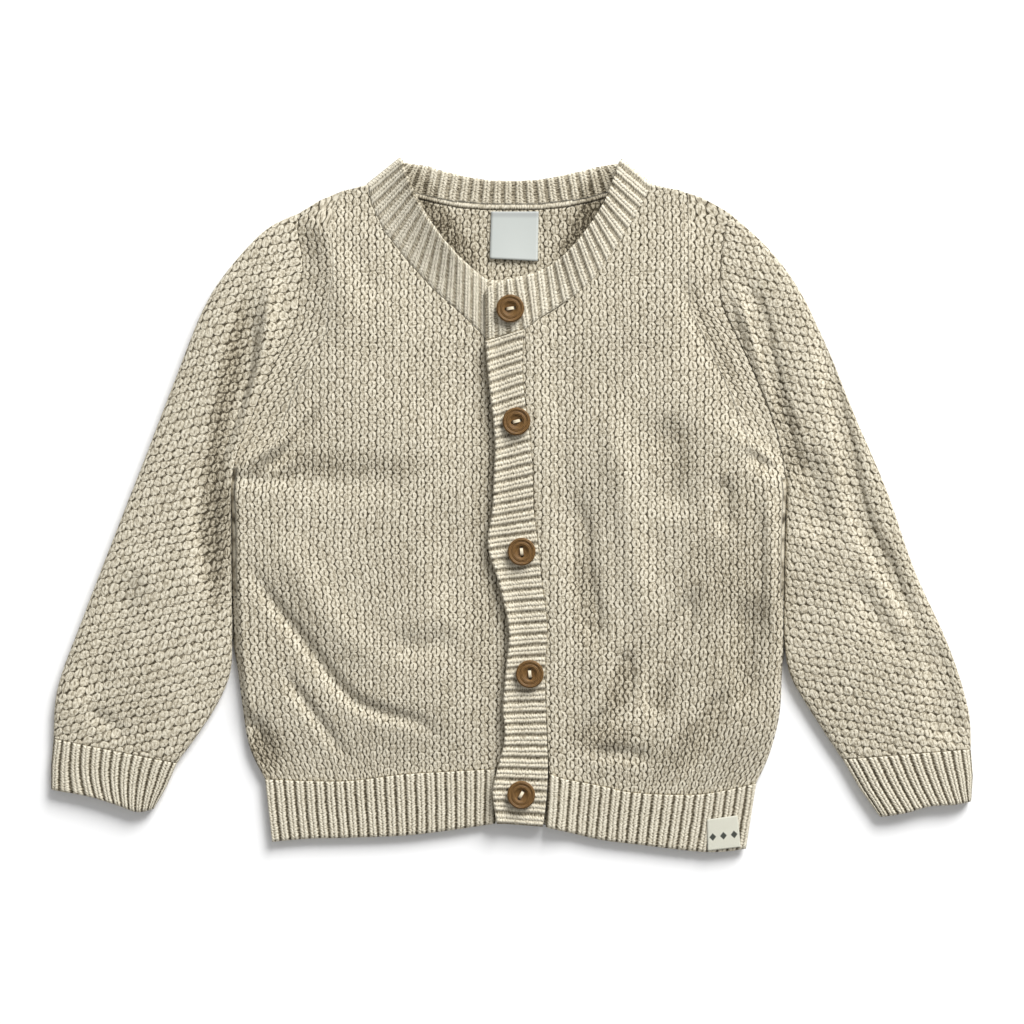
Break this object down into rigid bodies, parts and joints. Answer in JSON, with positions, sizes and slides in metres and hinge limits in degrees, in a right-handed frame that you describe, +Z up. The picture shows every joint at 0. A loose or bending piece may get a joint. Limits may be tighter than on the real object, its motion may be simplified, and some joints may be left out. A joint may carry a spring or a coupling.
{
  "type": "baby knitted cardigan",
  "caption": "Oatmeal knitted baby cardigan laid flat and buttoned, with ribbed neckband, front band, hem and cuffs, wooden buttons and two small plain labels.",
  "frame": {"origin": "centre of the bounding box's bottom face, on the floor under the middle of the cardigan", "axes": "+X toward the wearer's left, from cuff to cuff; +Y from the hem to the neck; +Z up from the floor, out of the front"},
  "size_m": [0.4504, 0.3392, 0.012],
  "materials": {
    "knit_moss": "matt knitted cotton",
    "knit_rib": "matt ribbed knitted cotton",
    "button_wood": "satin",
    "label_satin": "satin ribbon",
    "label_woven": "matt woven tape"
  },
  "bodies": {
    "root": {"back_panel": "knit_moss", "right_front": "knit_moss", "left_front": "knit_moss", "right_sleeve": "knit_moss", "left_sleeve": "knit_moss", "right_cuff": "knit_rib", "left_cuff": "knit_rib", "back_hem_rib": "knit_rib", "right_front_hem_rib": "knit_rib", "left_front_hem_rib": "knit_rib", "neckband": "knit_rib", "button_band": "knit_rib", "buttonhole_band": "knit_rib", "button_1": "button_wood", "button_2": "button_wood", "button_3": "button_wood", "button_4": "button_wood", "button_5": "button_wood", "neck_label": "label_satin", "hem_label": "label_woven"}
  },
  "joints": []
}
